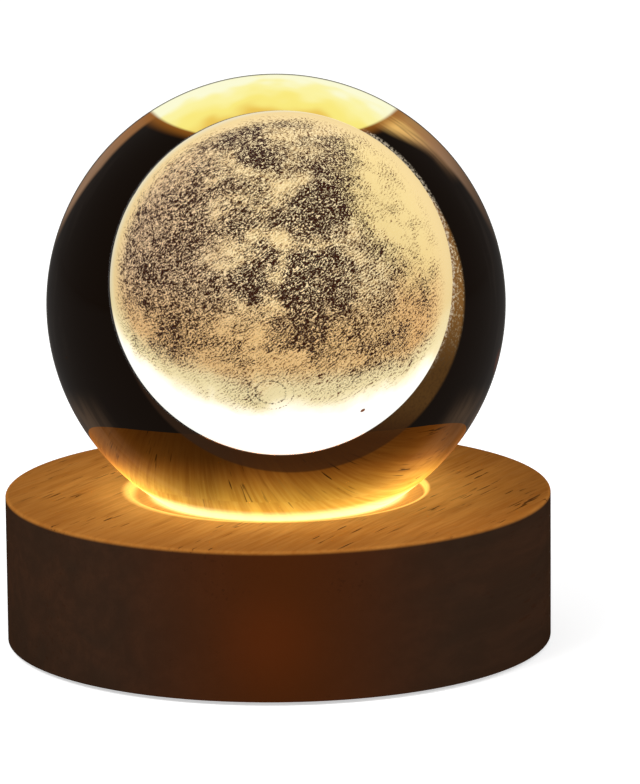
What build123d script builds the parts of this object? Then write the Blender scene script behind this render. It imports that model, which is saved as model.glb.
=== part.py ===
from build123d import *

import os
from math import asin, cos, radians, sin, sqrt, tan

# Crystal ball night light
#
# A solid glass ball, marked inside with a full moon, rests by its own weight in a turned wooden base.
# The base is hollow underneath. A round board carries the warm lamps under the well that the ball
# covers, and a small board at the back carries the power socket and the push switch. A plastic cover
# closes the hollow, and stands on rubber feet.
#
# Millimetres. +Z is up, -Y is the front, and the origin is the middle of the footprint on the table.

# Overall sizes
ball_diameter = 59.4
base_diameter = 71.0
base_height = 19.8
foot_stand = 0.5

# The moon marked inside the ball, and how far its middle lies from the ball's own
moon_diameter = 29.6
moon_offset_x = 0.6
moon_offset_z = 1.9

# The ball's seat: a shallow step in the top face, then a cone that the ball touches along one circle
step_diameter = 38.8
step_depth = 0.6
seat_diameter = 30.8
seat_width = 1.2
seat_gap = 0.05

# The turned outline of the base
top_edge_radius = 0.45
bottom_edge_radius = 0.8
step_edge_radius = 0.15
rim_width = 4.5
ledge_width = 6.0

# Bottom cover and feet, and the hollow above the cover
cover_thickness = 2.0
cover_gap = 0.2
cover_edge_chamfer = 0.3
hollow_height = 6.5
foot_count = 3
foot_diameter = 10.0
foot_sink = 0.8
foot_gap = 0.1
foot_edge_margin = 1.5
foot_edge_radius = 0.2

# Lamp board
led_board_thickness = 1.6
led_board_gap = 2.5
board_spacing = 0.6
lamp_count = 6
lamp_ring_diameter = 19.0
lamp_length = 3.5
lamp_width = 2.8
lamp_height = 0.8
lamp_dish_diameter = 2.3
lamp_dish_depth = 0.4
lamp_dish_taper = 20.0
resistor_length = 3.2
resistor_width = 1.6
resistor_height = 0.55
resistor_spacing = 9.0
resistor_y = 9.0

# Back board, in a slot between the hollow and the back wall
back_wall = 6.0
board_side_margin = 0.4
back_board_depth = 7.9
back_board_thickness = 1.0
slot_gap = 0.3
slot_corner_radius = 1.5

# Power socket, a type C receptacle with contacts for power alone
socket_x = -5.0
socket_width = 8.94
socket_height = 3.2
socket_length = 7.4
socket_wall = 0.3
socket_recess = 3.8
socket_fit = 0.15
relief_width = 13.0
relief_height = 7.2
relief_corner_radius = 1.5
leg_thickness = 0.3
leg_length = 1.1
leg_height = 0.8
leg_setback = 1.5
leg_spacing = 2.4
tongue_block_length = 2.2
tongue_width = 6.6
tongue_thickness = 0.7
tongue_setback = 0.9
contact_count = 3
contact_pitch = 1.6
contact_width = 0.5
contact_thickness = 0.08
contact_length = 3.2
contact_setback = 0.4

# Push switch and its button
switch_x = 6.8
switch_width = 5.6
switch_height = 4.0
switch_length = 6.8
switch_front_wall = 0.8
switch_back_wall = 0.6
switch_edge_radius = 0.3
collar_diameter = 2.2
collar_length = 1.2
stem_diameter = 1.6
plunger_gap = 0.06
plunger_rest_gap = 0.05
button_diameter = 5.4
button_length = 4.0
button_setback = 0.05
button_gap = 0.2
button_edge_radius = 0.6
button_socket_depth = 1.6
spring_wire_diameter = 0.24
spring_diameter = 1.8
spring_turns = 5
spring_end_gap = 0.02
pin_count = 3
pin_spacing = 2.0
pin_diameter = 0.5
pin_length = 0.8

# Wires and solder between the two boards
wire_diameter = 0.9
wire_spacing = 2.4
wire_drop = 2.2
wire_bend_radius = 1.3
pad_setback = 1.3
solder_diameter = 2.0
solder_tip_diameter = 1.3
solder_height = 0.7

# Screws, and the holes that take them and the legs
board_screw_count = 3
board_screw_diameter = 1.9
board_screw_seat_diameter = 3.4
board_screw_face_diameter = 2.8
board_screw_head_height = 1.2
board_screw_length = 6.0
back_board_screw_spacing = 3.9
cover_screw_count = 3
cover_screw_diameter = 2.3
cover_screw_face_diameter = 4.2
cover_screw_head_angle = 90.0
cover_screw_length = 8.0
screw_tip_length = 1.2
screw_tip_diameter = 0.4
screw_start_angle = -90.0
cross_width = 0.5
cross_length = 2.0
cross_depth = 0.6
hole_gap = 0.12
pilot_end_gap = 0.4
close_fit = 0.02

# Places that follow from the sizes above
ball_radius = ball_diameter / 2
base_radius = base_diameter / 2
moon_radius = moon_diameter / 2
step_radius = step_diameter / 2
step_z = base_height - step_depth
seat_slope = tan(asin(seat_diameter / ball_diameter))
seat_top_radius = (seat_diameter + seat_width) / 2
well_radius = (seat_diameter - seat_width) / 2
seat_low_z = step_z - seat_width * seat_slope
touch_z = step_z - seat_width / 2 * seat_slope
ball_z = touch_z + sqrt(ball_radius**2 - (seat_diameter / 2) ** 2) + seat_gap
ledge_z = foot_stand + cover_thickness
roof_z = ledge_z + hollow_height
rebate_radius = base_radius - rim_width
hollow_radius = rebate_radius - ledge_width
cover_radius = rebate_radius - cover_gap
foot_ring_radius = cover_radius - foot_edge_margin - foot_diameter / 2
cover_screw_ring_radius = (hollow_radius + rebate_radius) / 2
cover_screw_head_slope = tan(radians(cover_screw_head_angle / 2))
cover_screw_head_height = (cover_screw_face_diameter - cover_screw_diameter) / 2 / cover_screw_head_slope
led_board_radius = hollow_radius - led_board_gap
led_board_z = roof_z - led_board_thickness
board_screw_ring_radius = (well_radius + led_board_radius) / 2
slot_wall_y = base_radius - back_wall
back_board_reach = max(switch_x + switch_width / 2, socket_width / 2 - socket_x)
back_board_width = 2 * (back_board_reach + board_side_margin)
slot_width = back_board_width + 2 * slot_gap
back_board_back_y = slot_wall_y - slot_gap
back_board_front_y = back_board_back_y - back_board_depth
back_board_z = roof_z - back_board_thickness
led_board_back_y = back_board_front_y - board_spacing
socket_z = back_board_z - socket_height / 2
socket_mouth_y = base_radius - socket_recess
socket_back_y = socket_mouth_y - socket_length
tongue_end_y = socket_mouth_y - tongue_setback
switch_z = back_board_z - switch_height / 2
switch_front_y = back_board_back_y
switch_back_y = switch_front_y - switch_length
cavity_front_y = switch_front_y - switch_front_wall
cavity_back_y = switch_back_y + switch_back_wall
collar_front_y = cavity_front_y - plunger_rest_gap
collar_back_y = collar_front_y - collar_length
button_end_y = base_radius - button_setback
button_inner_y = button_end_y - button_length
stem_end_y = button_inner_y + button_socket_depth - plunger_rest_gap
back_board_screw_x = (socket_x + socket_width / 2 + switch_x - switch_width / 2) / 2
back_board_middle_y = (back_board_back_y + back_board_front_y) / 2
led_pad_y = led_board_back_y - pad_setback
back_pad_y = back_board_front_y + pad_setback

os.makedirs("parts", exist_ok=True)


def facing_back(x, y, z):
    """A plane square to the table that faces the back of the lamp."""
    return Plane(origin=(x, y, z), x_dir=(-1, 0, 0), z_dir=(0, 1, 0))


def screw(diameter, face_diameter, seat_diameter, head_height, length):
    """A cross-recessed screw that stands on its head's outer face, with its tip up."""
    with BuildPart() as body:
        with BuildSketch(Plane.XY):
            Circle(diameter / 2)
        extrude(amount=length - screw_tip_length)
        with BuildSketch(Plane.XZ):
            with BuildLine():
                Polyline(
                    (0, 0),
                    (face_diameter / 2, 0),
                    (seat_diameter / 2, head_height),
                    (0, head_height),
                    close=True,
                )
            make_face()
            with BuildLine():
                Polyline(
                    (0, length - screw_tip_length),
                    (diameter / 2, length - screw_tip_length),
                    (screw_tip_diameter / 2, length),
                    (0, length),
                    close=True,
                )
            make_face()
        revolve(axis=Axis.Z)
        with BuildSketch(Plane.XY):
            Rectangle(cross_length, cross_width)
            Rectangle(cross_width, cross_length)
        extrude(amount=cross_depth, mode=Mode.SUBTRACT)
    return body.part


def coil_place(plane, radius, pitch, turn):
    """Where a helix about the plane's axis is after so many turns, and its heading there."""
    angle = radians(360 * turn)
    place = plane.from_local_coords(Vector(radius * cos(angle), radius * sin(angle), pitch * turn))
    ahead = Vector(-radius * sin(angle), radius * cos(angle), pitch / radians(360))
    heading = (plane.from_local_coords(ahead) - plane.origin).normalized()
    return place, heading


def biarc_middle(start, start_heading, end, end_heading):
    """Where the two arcs meet that run from one place and heading to the other."""
    span = end - start
    turning = 2 * (1 - start_heading.dot(end_heading))
    along = span.dot(start_heading + end_heading)
    reach = (sqrt(along**2 + turning * span.dot(span)) - along) / turning
    return (start + end + (start_heading - end_heading) * reach) * 0.5


# Crystal ball: solid glass, with the marked moon's space inside
with BuildPart() as crystal_ball:
    with Locations((0, 0, ball_z)):
        Sphere(ball_radius)
    with Locations((moon_offset_x, 0, ball_z + moon_offset_z)):
        Sphere(moon_radius + close_fit, mode=Mode.SUBTRACT)
crystal_ball.part.label = "crystal_ball"
export_step(crystal_ball.part, "parts/crystal_ball.step")

# Engraved moon: the ball of fine marks burnt into the glass
with BuildPart() as engraved_moon:
    with Locations((moon_offset_x, 0, ball_z + moon_offset_z)):
        Sphere(moon_radius)
engraved_moon.part.label = "engraved_moon"
export_step(engraved_moon.part, "parts/engraved_moon.step")

# Wooden base: turned outline, then the slot, the ports and the pilot holes
with BuildPart() as wood_base:
    with BuildSketch(Plane.XZ) as turned_outline:
        with BuildLine():
            Polyline(
                (rebate_radius, foot_stand),
                (base_radius, foot_stand),
                (base_radius, base_height),
                (step_radius, base_height),
                (step_radius, step_z),
                (seat_top_radius, step_z),
                (well_radius, seat_low_z),
                (well_radius, roof_z),
                (hollow_radius, roof_z),
                (hollow_radius, ledge_z),
                (rebate_radius, ledge_z),
                close=True,
            )
        make_face()
        top_corners = turned_outline.vertices().group_by(Axis.Y)[-1].sort_by(Axis.X)
        bottom_corners = turned_outline.vertices().group_by(Axis.Y)[0].sort_by(Axis.X)
        fillet(top_corners[-1], top_edge_radius)
        fillet(top_corners[0], step_edge_radius)
        fillet(bottom_corners[-1], bottom_edge_radius)
    revolve(axis=Axis.Z)
    with BuildSketch(Plane.XY.offset(ledge_z)) as slot:
        Rectangle(slot_width, slot_wall_y, align=(Align.CENTER, Align.MIN))
        fillet(slot.vertices().group_by(Axis.Y)[-1], slot_corner_radius)
    extrude(amount=roof_z - ledge_z, mode=Mode.SUBTRACT)
    with BuildSketch(facing_back(socket_x, socket_back_y, socket_z)):
        SlotOverall(socket_width + 2 * socket_fit, socket_height + 2 * socket_fit)
    extrude(amount=socket_length, mode=Mode.SUBTRACT)
    with BuildSketch(facing_back(socket_x, socket_mouth_y, socket_z)):
        RectangleRounded(relief_width, relief_height, relief_corner_radius)
    extrude(amount=socket_recess, mode=Mode.SUBTRACT)
    with BuildSketch(facing_back(switch_x, switch_front_y, switch_z)):
        Circle(button_diameter / 2 + button_gap)
    extrude(amount=back_wall + slot_gap, mode=Mode.SUBTRACT)
    with BuildSketch(Plane.XY.offset(roof_z)):
        with PolarLocations(board_screw_ring_radius, board_screw_count, screw_start_angle):
            Circle(board_screw_diameter / 2 + close_fit)
    extrude(
        amount=board_screw_length
        - board_screw_head_height
        - led_board_thickness
        + pilot_end_gap,
        mode=Mode.SUBTRACT,
    )
    with BuildSketch(Plane.XY.offset(roof_z)):
        with Locations((back_board_screw_x, back_board_middle_y)):
            with GridLocations(0, back_board_screw_spacing, 1, 2):
                Circle(board_screw_diameter / 2 + close_fit)
    extrude(
        amount=board_screw_length
        - board_screw_head_height
        - back_board_thickness
        + pilot_end_gap,
        mode=Mode.SUBTRACT,
    )
    with BuildSketch(Plane.XY.offset(ledge_z)):
        with PolarLocations(cover_screw_ring_radius, cover_screw_count, screw_start_angle):
            Circle(cover_screw_diameter / 2 + close_fit)
    extrude(amount=cover_screw_length - cover_thickness + pilot_end_gap, mode=Mode.SUBTRACT)
wood_base.part.label = "wood_base"
export_step(wood_base.part, "parts/wood_base.step")

# Lamp board: a disc against the roof of the hollow, cut flat where the back board begins
with BuildPart() as led_board:
    with BuildSketch(Plane.XY.offset(led_board_z)):
        Circle(led_board_radius)
        with Locations((0, led_board_back_y)):
            Rectangle(
                2 * led_board_radius,
                led_board_radius,
                align=(Align.CENTER, Align.MIN),
                mode=Mode.SUBTRACT,
            )
        with PolarLocations(board_screw_ring_radius, board_screw_count, screw_start_angle):
            Circle(board_screw_diameter / 2 + hole_gap, mode=Mode.SUBTRACT)
    extrude(amount=led_board_thickness)
led_board.part.label = "led_board"
export_step(led_board.part, "parts/led_board.step")

# Lamp phosphor: the yellow filling of each lamp's dish
with BuildPart() as led_phosphors:
    with BuildSketch(Plane.XY.offset(roof_z + lamp_height)):
        with PolarLocations(lamp_ring_diameter / 2, lamp_count):
            Circle(lamp_dish_diameter / 2)
    extrude(amount=-lamp_dish_depth, taper=lamp_dish_taper)
led_phosphors.part.label = "led_phosphors"
export_step(led_phosphors.part, "parts/led_phosphors.step")

# Lamp frames: the moulded white bodies, soldered to the board in a ring
with BuildPart() as led_frames:
    with BuildSketch(Plane.XY.offset(roof_z)):
        with PolarLocations(lamp_ring_diameter / 2, lamp_count):
            Rectangle(lamp_length, lamp_width)
    extrude(amount=lamp_height)
    add(led_phosphors.part, mode=Mode.SUBTRACT)
led_frames.part.label = "led_frames"
export_step(led_frames.part, "parts/led_frames.step")

# Chip resistors under the lamp board
with BuildPart() as chip_resistors:
    with BuildSketch(Plane.XY.offset(led_board_z)):
        with Locations((0, resistor_y)):
            with GridLocations(resistor_spacing, 0, 2, 1):
                Rectangle(resistor_length, resistor_width)
    extrude(amount=-resistor_height)
chip_resistors.part.label = "chip_resistors"
export_step(chip_resistors.part, "parts/chip_resistors.step")

# Lamp board screws, driven up into the wood
board_screw = screw(
    board_screw_diameter,
    board_screw_face_diameter,
    board_screw_seat_diameter,
    board_screw_head_height,
    board_screw_length,
)
with BuildPart() as led_board_screws:
    with Locations(Plane.XY.offset(led_board_z - board_screw_head_height)):
        with PolarLocations(board_screw_ring_radius, board_screw_count, screw_start_angle):
            add(board_screw)
led_board_screws.part.label = "led_board_screws"
export_step(led_board_screws.part, "parts/led_board_screws.step")

# Back board: carries the socket and the switch on its underside
with BuildPart() as back_board:
    with BuildSketch(Plane.XY.offset(back_board_z)) as back_board_outline:
        with Locations((0, back_board_middle_y)):
            Rectangle(back_board_width, back_board_depth)
        fillet(back_board_outline.vertices().group_by(Axis.Y)[-1], slot_corner_radius - slot_gap)
        with Locations((back_board_screw_x, back_board_middle_y)):
            with GridLocations(0, back_board_screw_spacing, 1, 2):
                Circle(board_screw_diameter / 2 + hole_gap, mode=Mode.SUBTRACT)
        with Locations((socket_x, back_board_back_y - leg_setback - leg_spacing / 2)):
            with GridLocations(socket_width - leg_thickness, leg_spacing, 2, 2):
                Rectangle(
                    leg_thickness + 2 * hole_gap,
                    leg_length + 2 * hole_gap,
                    mode=Mode.SUBTRACT,
                )
        with Locations((switch_x, (switch_front_y + switch_back_y) / 2)):
            with GridLocations(0, pin_spacing, 1, pin_count):
                Circle(pin_diameter / 2 + hole_gap, mode=Mode.SUBTRACT)
    extrude(amount=back_board_thickness)
back_board.part.label = "back_board"
export_step(back_board.part, "parts/back_board.step")

# Back board screws
with BuildPart() as back_board_screws:
    with Locations((back_board_screw_x, back_board_middle_y, back_board_z - board_screw_head_height)):
        with GridLocations(0, back_board_screw_spacing, 1, 2):
            add(board_screw)
back_board_screws.part.label = "back_board_screws"
export_step(back_board_screws.part, "parts/back_board_screws.step")

# Socket shell: a rolled steel tube with four legs through the board
with BuildPart() as socket_shell:
    with BuildSketch(facing_back(socket_x, socket_back_y, socket_z)):
        SlotOverall(socket_width, socket_height)
        SlotOverall(
            socket_width - 2 * socket_wall,
            socket_height - 2 * socket_wall,
            mode=Mode.SUBTRACT,
        )
    extrude(amount=socket_length)
    with BuildSketch(Plane.XY.offset(socket_z)):
        with Locations((socket_x, back_board_back_y - leg_setback - leg_spacing / 2)):
            with GridLocations(socket_width - leg_thickness, leg_spacing, 2, 2):
                Rectangle(leg_thickness, leg_length)
    extrude(amount=socket_height / 2 + leg_height)
socket_shell.part.label = "socket_shell"
export_step(socket_shell.part, "parts/socket_shell.step")

# Socket tongue: the moulded block at the back of the shell, and the blade that carries the contacts
with BuildPart() as socket_tongue:
    with BuildSketch(facing_back(socket_x, socket_back_y, socket_z)):
        SlotOverall(
            socket_width - 2 * socket_wall - 2 * close_fit,
            socket_height - 2 * socket_wall - 2 * close_fit,
        )
    extrude(amount=tongue_block_length)
    with BuildSketch(facing_back(socket_x, socket_back_y, socket_z)):
        Rectangle(tongue_width, tongue_thickness)
    extrude(amount=tongue_end_y - socket_back_y)
    tip = socket_tongue.edges().group_by(Axis.Y)[-1].filter_by(Axis.Z)
    fillet(tip, tongue_thickness / 2)
socket_tongue.part.label = "socket_tongue"
export_step(socket_tongue.part, "parts/socket_tongue.step")

# Socket contacts: gilt strips on both faces of the blade
with BuildPart() as socket_contacts:
    for face_z, thickness in (
        (socket_z + tongue_thickness / 2, contact_thickness),
        (socket_z - tongue_thickness / 2, -contact_thickness),
    ):
        with BuildSketch(Plane.XY.offset(face_z)):
            with Locations((socket_x, tongue_end_y - contact_setback - contact_length / 2)):
                with GridLocations(contact_pitch, 0, contact_count, 1):
                    Rectangle(contact_width, contact_length)
        extrude(amount=thickness)
socket_contacts.part.label = "socket_contacts"
export_step(socket_contacts.part, "parts/socket_contacts.step")

# Switch housing: a moulded box with a round cavity for the plunger and its spring
with BuildPart() as switch_housing:
    with BuildSketch(facing_back(switch_x, switch_back_y, switch_z)) as switch_face:
        Rectangle(switch_width, switch_height)
        fillet(switch_face.vertices(), switch_edge_radius)
    extrude(amount=switch_length)
    with BuildSketch(facing_back(switch_x, cavity_back_y, switch_z)):
        Circle(collar_diameter / 2 + plunger_gap)
    extrude(amount=cavity_front_y - cavity_back_y, mode=Mode.SUBTRACT)
    with BuildSketch(facing_back(switch_x, cavity_front_y, switch_z)):
        Circle(stem_diameter / 2 + plunger_gap)
    extrude(amount=switch_front_wall, mode=Mode.SUBTRACT)
switch_housing.part.label = "switch_housing"
export_step(switch_housing.part, "parts/switch_housing.step")

# Switch pins, up through the board
with BuildPart() as switch_pins:
    with BuildSketch(Plane.XY.offset(back_board_z)):
        with Locations((switch_x, (switch_front_y + switch_back_y) / 2)):
            with GridLocations(0, pin_spacing, 1, pin_count):
                Circle(pin_diameter / 2)
    extrude(amount=pin_length)
switch_pins.part.label = "switch_pins"
export_step(switch_pins.part, "parts/switch_pins.step")

# Switch plunger: a collar that the spring pushes, and a stem that carries the button
with BuildPart() as switch_plunger:
    with BuildSketch(facing_back(switch_x, collar_back_y, switch_z)):
        Circle(collar_diameter / 2)
    extrude(amount=collar_length)
    with BuildSketch(facing_back(switch_x, collar_back_y, switch_z)):
        Circle(stem_diameter / 2)
    extrude(amount=stem_end_y - collar_back_y)
switch_plunger.part.label = "switch_plunger"
export_step(switch_plunger.part, "parts/switch_plunger.step")

# Button cap, pushed onto the plunger's stem
with BuildPart() as button_cap:
    with BuildSketch(facing_back(switch_x, button_inner_y, switch_z)):
        Circle(button_diameter / 2)
    extrude(amount=button_length)
    fillet(button_cap.edges().sort_by(Axis.Y)[-1], button_edge_radius)
    with BuildSketch(facing_back(switch_x, button_inner_y, switch_z)):
        Circle(stem_diameter / 2 + close_fit)
    extrude(amount=button_socket_depth, mode=Mode.SUBTRACT)
button_cap.part.label = "button_cap"
export_step(button_cap.part, "parts/button_cap.step")

# Switch spring: a wire wound on a helix, each quarter turn drawn as two arcs
spring_clear = spring_wire_diameter / 2 + spring_end_gap
spring_pitch = (collar_back_y - cavity_back_y - 2 * spring_clear) / spring_turns
spring_axis = facing_back(switch_x, cavity_back_y + spring_clear, switch_z)
spring_stops = [
    coil_place(spring_axis, spring_diameter / 2, spring_pitch, quarter / 4)
    for quarter in range(4 * spring_turns + 1)
]
with BuildPart() as switch_spring:
    with BuildLine() as spring_path:
        for (start, start_heading), (end, end_heading) in zip(spring_stops, spring_stops[1:]):
            middle = biarc_middle(start, start_heading, end, end_heading)
            first_arc = TangentArc(start, middle, tangent=start_heading)
            TangentArc(middle, end, tangent=first_arc % 1)
    with BuildSketch(Plane(origin=spring_stops[0][0], z_dir=spring_stops[0][1])):
        Circle(spring_wire_diameter / 2)
    sweep(path=spring_path.wires()[0])
switch_spring.part.label = "switch_spring"
export_step(switch_spring.part, "parts/switch_spring.step")
print("least gap between the spring's turns", round(spring_pitch - spring_wire_diameter, 2), "mm")


def wire(x):
    """One wire that hangs in a loop from the lamp board's pad to the back board's."""
    low_z = led_board_z - wire_drop
    with BuildPart() as loop:
        with BuildLine() as path:
            FilletPolyline(
                (x, led_pad_y, led_board_z),
                (x, led_pad_y, low_z),
                (x, back_pad_y, low_z),
                (x, back_pad_y, back_board_z),
                radius=wire_bend_radius,
            )
        with BuildSketch(Plane(origin=(x, led_pad_y, led_board_z), z_dir=(0, 0, -1))):
            Circle(wire_diameter / 2)
        sweep(path=path.wires()[0])
    return loop


# Supply wires
red_wire = wire(socket_x - wire_spacing / 2)
red_wire.part.label = "red_wire"
export_step(red_wire.part, "parts/red_wire.step")

black_wire = wire(socket_x + wire_spacing / 2)
black_wire.part.label = "black_wire"
export_step(black_wire.part, "parts/black_wire.step")

# Solder around the four wire ends
with BuildPart() as solder_joints:
    for pad_y, pad_z in ((led_pad_y, led_board_z), (back_pad_y, back_board_z)):
        for pad_x in (socket_x - wire_spacing / 2, socket_x + wire_spacing / 2):
            with Locations(Plane(origin=(pad_x, pad_y, pad_z), z_dir=(0, 0, -1))):
                Cone(
                    solder_diameter / 2,
                    solder_tip_diameter / 2,
                    solder_height,
                    align=(Align.CENTER, Align.CENTER, Align.MIN),
                )
                Cylinder(
                    wire_diameter / 2 + close_fit,
                    solder_height,
                    align=(Align.CENTER, Align.CENTER, Align.MIN),
                    mode=Mode.SUBTRACT,
                )
solder_joints.part.label = "solder_joints"
export_step(solder_joints.part, "parts/solder_joints.step")

# Base cover: a black moulded disc let into the bottom, with countersunk screw holes
foot_start_angle = screw_start_angle + 180 / cover_screw_count
with BuildPart() as base_cover:
    with BuildSketch(Plane.XY.offset(foot_stand)):
        Circle(cover_radius)
    extrude(amount=cover_thickness)
    chamfer(base_cover.edges().sort_by(Axis.Z)[0], cover_edge_chamfer)
    with BuildSketch(Plane.XY.offset(foot_stand)):
        with PolarLocations(foot_ring_radius, foot_count, foot_start_angle):
            Circle(foot_diameter / 2 + foot_gap)
    extrude(amount=foot_sink, mode=Mode.SUBTRACT)
    with Locations(Plane(origin=(0, 0, foot_stand), x_dir=(1, 0, 0), z_dir=(0, 0, -1))):
        with PolarLocations(cover_screw_ring_radius, cover_screw_count, -screw_start_angle):
            CounterSinkHole(
                cover_screw_diameter / 2 + hole_gap,
                cover_screw_face_diameter / 2 + hole_gap,
                depth=cover_thickness,
                counter_sink_angle=cover_screw_head_angle,
            )
base_cover.part.label = "base_cover"
export_step(base_cover.part, "parts/base_cover.step")

# Cover screws, flush with the cover
cover_screw = screw(
    cover_screw_diameter,
    cover_screw_face_diameter,
    cover_screw_diameter,
    cover_screw_head_height,
    cover_screw_length,
)
with BuildPart() as cover_screws:
    with Locations(Plane.XY.offset(foot_stand)):
        with PolarLocations(cover_screw_ring_radius, cover_screw_count, screw_start_angle):
            add(cover_screw)
cover_screws.part.label = "cover_screws"
export_step(cover_screws.part, "parts/cover_screws.step")

# Foot pads: rubber discs stuck in shallow recesses of the cover
with BuildPart() as foot_pads:
    with BuildSketch(Plane.XY):
        with PolarLocations(foot_ring_radius, foot_count, foot_start_angle):
            Circle(foot_diameter / 2)
    extrude(amount=foot_stand + foot_sink)
    fillet(foot_pads.edges().group_by(Axis.Z)[0], foot_edge_radius)
foot_pads.part.label = "foot_pads"
export_step(foot_pads.part, "parts/foot_pads.step")
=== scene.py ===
import math

import bmesh
import bpy
from mathutils import Matrix, Vector


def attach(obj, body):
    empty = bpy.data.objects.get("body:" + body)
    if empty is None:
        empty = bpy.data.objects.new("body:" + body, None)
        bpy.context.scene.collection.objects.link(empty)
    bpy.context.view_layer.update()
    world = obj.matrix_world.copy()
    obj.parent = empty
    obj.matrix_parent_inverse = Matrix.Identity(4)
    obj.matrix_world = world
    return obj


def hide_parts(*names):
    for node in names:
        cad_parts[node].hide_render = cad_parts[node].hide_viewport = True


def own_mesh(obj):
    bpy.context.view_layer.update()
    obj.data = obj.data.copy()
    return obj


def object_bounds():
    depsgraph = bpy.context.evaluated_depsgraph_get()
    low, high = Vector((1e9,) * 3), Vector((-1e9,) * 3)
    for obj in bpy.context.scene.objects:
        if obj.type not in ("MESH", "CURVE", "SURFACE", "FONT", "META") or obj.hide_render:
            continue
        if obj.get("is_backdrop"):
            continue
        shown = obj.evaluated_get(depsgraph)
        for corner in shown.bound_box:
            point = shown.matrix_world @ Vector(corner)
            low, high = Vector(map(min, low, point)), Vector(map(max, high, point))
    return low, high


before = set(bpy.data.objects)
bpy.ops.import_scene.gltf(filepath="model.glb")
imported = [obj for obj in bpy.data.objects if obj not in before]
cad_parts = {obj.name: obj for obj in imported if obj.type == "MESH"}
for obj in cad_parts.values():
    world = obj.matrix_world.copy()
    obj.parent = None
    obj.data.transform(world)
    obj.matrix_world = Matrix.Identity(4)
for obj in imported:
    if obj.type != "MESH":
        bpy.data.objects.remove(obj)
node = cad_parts
cad_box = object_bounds()

# The wooden base. One block of a fine-grained hardwood, turned to a plain drum with a stepped seat in its
# top, then stained and oiled. It has one stain, with light and shade painted into it. The top face and the
# seat are coloured as lit by the light from the seat, darker away from the ball. The side is coloured as in
# shade, with a painted warm glow on its front. The seat's light also glows on the wood near the ball, and is
# painted brighter still where the wood is seen in a reflection.
MM = 0.001
BASE_TOP = 19.8 * MM
STEP_RADIUS = 19.4 * MM
ROOF = 9.0 * MM
GRAIN_HEADING = math.radians(62)
WARM_SPOT = (-1.5 * MM, -35.4 * MM, 8 * MM)
WELL_SIDE = 23 * MM
HOLLOW_RADIUS = 29.2 * MM
MIRRORED_GLOW = (45.0, 162.0)


def feed(made, key, value):
    """Sets one input of a node. A value that is a socket is joined to it."""
    if isinstance(value, bpy.types.NodeSocket):
        made.id_data.links.new(value, made.inputs[key])
    else:
        made.inputs[key].default_value = value


def finish(name, roughness, specular=0.5):
    """A new surface finish: its material, the tree of its recipe and the main node of that tree."""
    made = bpy.data.materials.new(name)
    made.use_nodes = True
    shader = made.node_tree.nodes["Principled BSDF"]
    feed(shader, "Roughness", roughness)
    feed(shader, "Specular IOR Level", specular)
    return made, made.node_tree, shader


def put(tree, kind, values=None, **settings):
    """One node of a recipe, with its settings and the values of its inputs."""
    made = tree.nodes.new(kind)
    for setting, value in settings.items():
        setattr(made, setting, value)
    for key, value in (values or {}).items():
        feed(made, key, value)
    return made


def maths(tree, operation, first, second=0.0, third=0.0, clamp=False):
    """The result of one sum, as a socket."""
    made = put(tree, "ShaderNodeMath", {0: first, 1: second, 2: third}, operation=operation, use_clamp=clamp)
    return made.outputs[0]


def vector(tree, operation, *parts, scale=None):
    """The result of one sum on places or directions, as a socket."""
    values = dict(enumerate(parts))
    if scale is not None:
        values["Scale"] = scale
    made = put(tree, "ShaderNodeVectorMath", values, operation=operation)
    return made.outputs["Value" if operation in ("LENGTH", "DISTANCE", "DOT_PRODUCT") else "Vector"]


def fade(tree, value, start, end, low=0.0, high=1.0):
    """A smooth step from one level to another as the value goes from start to end."""
    made = put(
        tree,
        "ShaderNodeMapRange",
        {"Value": value, "From Min": start, "From Max": end, "To Min": low, "To Max": high},
        interpolation_type="SMOOTHSTEP",
    )
    return made.outputs["Result"]


def tint(tree, amount, first, second):
    """A blend of two colours, each a socket or three numbers."""
    made = tree.nodes.new("ShaderNodeMix")
    made.data_type = "RGBA"
    for key, value in (("A_Color", first), ("B_Color", second)):
        socket = next(s for s in made.inputs if s.identifier == key)
        if isinstance(value, bpy.types.NodeSocket):
            tree.links.new(value, socket)
        else:
            socket.default_value = (*value, 1)
    factor = next(s for s in made.inputs if s.identifier == "Factor_Float")
    if isinstance(amount, bpy.types.NodeSocket):
        tree.links.new(amount, factor)
    else:
        factor.default_value = amount
    return next(s for s in made.outputs if s.identifier == "Result_Color")


def hue(red, green, blue):
    """A colour named by its screen values, as the light values that a shader takes."""
    return tuple(
        value / 255 / 12.92 if value <= 10 else ((value / 255 + 0.055) / 1.055) ** 2.4
        for value in (red, green, blue)
    )


def stretch(tree, where, scale, turn=(0, 0, 0)):
    """A pattern's places, stretched and then turned."""
    return put(tree, "ShaderNodeMapping", {"Vector": where, "Rotation": turn, "Scale": scale}).outputs[0]


def place(tree, centre=(0, 0, 0), turn=(0, 0, 0)):
    """Object coordinates measured from a centre, then turned for a pattern."""
    where = tree.nodes.new("ShaderNodeTexCoord").outputs["Object"]
    moved = vector(tree, "SUBTRACT", where, centre)
    return stretch(tree, moved, (1, 1, 1), turn)


def mottle(tree, where, scale, detail=3.0, roughness=0.5, warp=0.0):
    """Cloudy noise, about one patch for each 1/scale of the pattern's length."""
    made = put(
        tree,
        "ShaderNodeTexNoise",
        {"Vector": where, "Scale": scale, "Detail": detail, "Roughness": roughness, "Distortion": warp},
    )
    return made.outputs["Fac"]


def split(tree, where):
    """The three parts of a vector, and its distance from the upright axis."""
    parts = put(tree, "ShaderNodeSeparateXYZ", {0: where}).outputs
    flat = put(tree, "ShaderNodeCombineXYZ", {0: parts[0], 1: parts[1]}).outputs[0]
    reach = vector(tree, "LENGTH", flat)
    return parts[0], parts[1], parts[2], reach


def relief(tree, shader, height, depth, strength=1.0):
    """Bump of a true depth in metres."""
    bump = put(tree, "ShaderNodeBump", {"Height": height, "Distance": depth, "Strength": strength})
    feed(shader, "Normal", bump.outputs[0])


def dress(name, material):
    """Gives a solid of the frame its finish."""
    slots = node[name].data.materials
    slots.clear()
    slots.append(material)


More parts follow.
